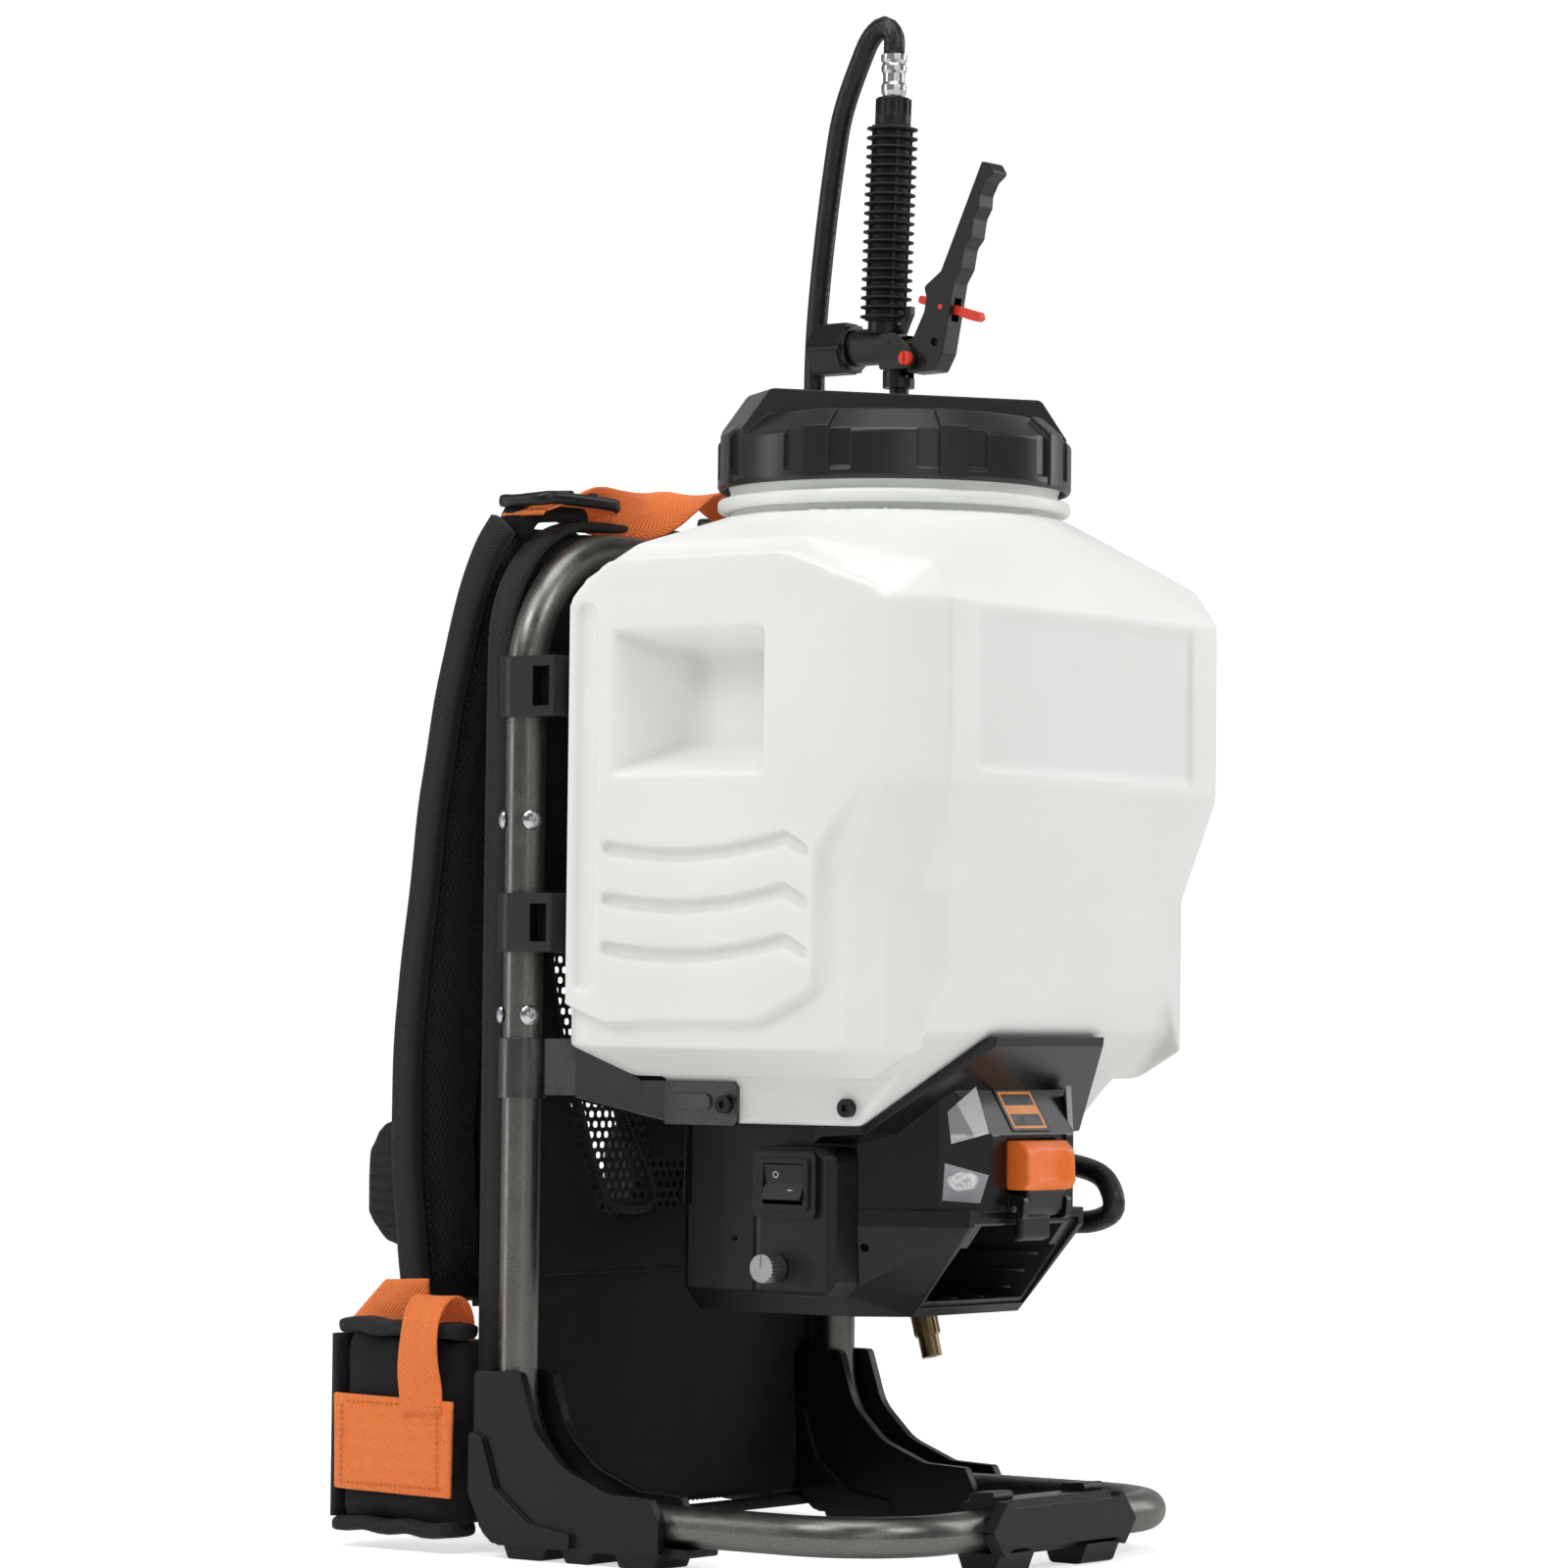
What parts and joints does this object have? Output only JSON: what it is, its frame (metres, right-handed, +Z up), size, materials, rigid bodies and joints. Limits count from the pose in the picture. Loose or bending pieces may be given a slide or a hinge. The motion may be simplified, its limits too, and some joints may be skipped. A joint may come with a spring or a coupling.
{
  "type": "knapsack sprayer",
  "caption": "Battery knapsack sprayer: tubular back frame, translucent tank with screw lid, pump housing with open battery bay, stored lance, padded shoulder harness and hip belt.",
  "frame": {"origin": "on the floor, at the centre of the bounding box's footprint", "axes": "+Z up, -Y towards the tank's front face, +Y towards the wearer, +X towards the stored lance"},
  "size_m": [0.3192, 0.349, 0.7779],
  "materials": {
    "frame_coat": "satin metallic powder coat",
    "black_plastic": "fine textured moulding",
    "gloss_black": "semi-gloss moulding",
    "tank_hdpe": "translucent blow-moulded polyethylene",
    "steel_strap": "satin grey coat",
    "zinc": "zinc plated",
    "black_steel": "black oxide",
    "rubber": "matt",
    "orange_plastic": "satin",
    "red_plastic": "satin",
    "lens": "clear moulding",
    "label": "printed film",
    "alu_knob": "turned",
    "brass": "machined",
    "pcb": "solder mask",
    "strainer": "moulded mesh",
    "pad_fabric": "woven nylon over foam",
    "mesh_fabric": "open warp-knit mesh",
    "spacer_fabric": "spacer mesh over foam",
    "webbing": "woven polyester webbing"
  },
  "bodies": {
    "root": {"frame_tube": "frame_coat", "tube_joiner": "zinc", "corner_foot_left": "black_plastic", "corner_foot_right": "black_plastic", "front_foot": "black_plastic", "tank_clips": "black_plastic", "tube_screws": "zinc", "strap_bracket_left": "steel_strap", "strap_bracket_right": "steel_strap", "bracket_bolts": "black_steel", "tank": "tank_hdpe", "strainer_basket": "strainer", "housing_left": "gloss_black", "housing_right": "gloss_black", "housing_screws": "black_steel", "control_panel": "black_plastic", "switch_bezel": "black_plastic", "potentiometer": "zinc", "window_lenses": "lens", "battery_bay_liner": "black_plastic", "terminal_block": "black_plastic", "latch_pin": "zinc", "latch_spring": "zinc", "label_plate": "label", "pump_motor": "zinc", "pump_head": "black_plastic", "circuit_board": "pcb", "suction_hose": "rubber", "tank_outlet": "black_plastic", "delivery_hose": "rubber", "hose_ferrule": "zinc", "grip_collar": "black_plastic", "ribbed_grip": "rubber", "valve_body": "black_plastic", "valve_cap": "black_plastic", "valve_spring": "zinc", "trigger_pin": "red_plastic", "wand_tube": "black_plastic", "wand_clips": "black_plastic", "nozzle_body": "brass", "back_pad": "pad_fabric", "mesh_panel": "mesh_fabric", "shoulder_strap_left": "spacer_fabric", "shoulder_strap_right": "spacer_fabric", "lumbar_belt": "pad_fabric", "strap_webbing": "webbing", "carry_handle": "webbing", "buckles": "black_plastic"},
    "gasket_set": {"lid_gasket": "rubber"},
    "seal_set": {"lid_seal_plate": "black_plastic", "vent_valve": "rubber"},
    "lid": {"lid_cap": "black_plastic"},
    "trigger": {"trigger_lever": "black_plastic"},
    "lock_clip": {"trigger_lock": "red_plastic"},
    "plunger": {"valve_plunger": "brass"},
    "rocker": {"switch_rocker": "black_plastic"},
    "knob": {"control_knob": "alu_knob"},
    "release_paddle": {"battery_latch": "orange_plastic"},
    "nozzle_cap": {"nozzle_tip": "brass"},
    "rotor": {"motor_rotor": "zinc"}
  },
  "joints": [
    {"name": "lid_lift_off", "type": "slide", "parent": "root", "child": "gasket_set", "axis": [0, 0, 1], "range_m": [0, 0.075]},
    {"name": "lid_thread_rise", "type": "slide", "parent": "gasket_set", "child": "seal_set", "axis": [0, 0, 1], "range_m": [0, 0.0136]},
    {"name": "lid_turn", "type": "hinge", "parent": "seal_set", "child": "lid", "pos_m": [-0.0096, -0.06044, 0.54], "axis": [0, 0, 1], "range_deg": [0, 540]},
    {"name": "trigger_squeeze", "type": "hinge", "parent": "root", "child": "trigger", "pos_m": [0.1454, 0.03656, 0.597], "axis": [-1, 0, 0], "range_deg": [0, 16]},
    {"name": "lock_clip_swing", "type": "hinge", "parent": "trigger", "child": "lock_clip", "pos_m": [0.1454, 0.01856, 0.623], "axis": [1, 0, 0], "range_deg": [-10, 10]},
    {"name": "plunger_push", "type": "slide", "parent": "root", "child": "plunger", "axis": [0, 1, 0], "range_m": [0, 0.0026], "deforming": ["valve_spring"]},
    {"name": "power_rocker", "type": "hinge", "parent": "root", "child": "rocker", "pos_m": [-0.1006, -0.06894, 0.1795], "axis": [0, -1, 0], "range_deg": [0, 16]},
    {"name": "flow_knob_turn", "type": "hinge", "parent": "root", "child": "knob", "pos_m": [-0.1076, -0.06344, 0.14], "axis": [-1, 0, 0], "range_deg": [0, 270]},
    {"name": "battery_release_press", "type": "hinge", "parent": "root", "child": "release_paddle", "pos_m": [-0.0096, -0.14844, 0.1685], "axis": [-1, 0, 0], "range_deg": [0, 6], "deforming": ["latch_spring"]},
    {"name": "nozzle_adjust", "type": "hinge", "parent": "root", "child": "nozzle_cap", "pos_m": [0.1454, 0.02954, 0.11638], "axis": [0, -0.2588, -0.9659], "range_deg": [0, 360]},
    {"name": "motor_spin", "type": "hinge", "parent": "root", "child": "rotor", "pos_m": [-0.0396, -0.01744, 0.16], "axis": [1, 0, 0], "continuous": true}
  ],
  "couplings": [
    {"joint": "lid_thread_rise", "follows": "lid_turn", "m_per_rad": 0.0014324},
    {"joint": "plunger_push", "follows": "trigger_squeeze", "m_per_rad": 0.0085}
  ]
}
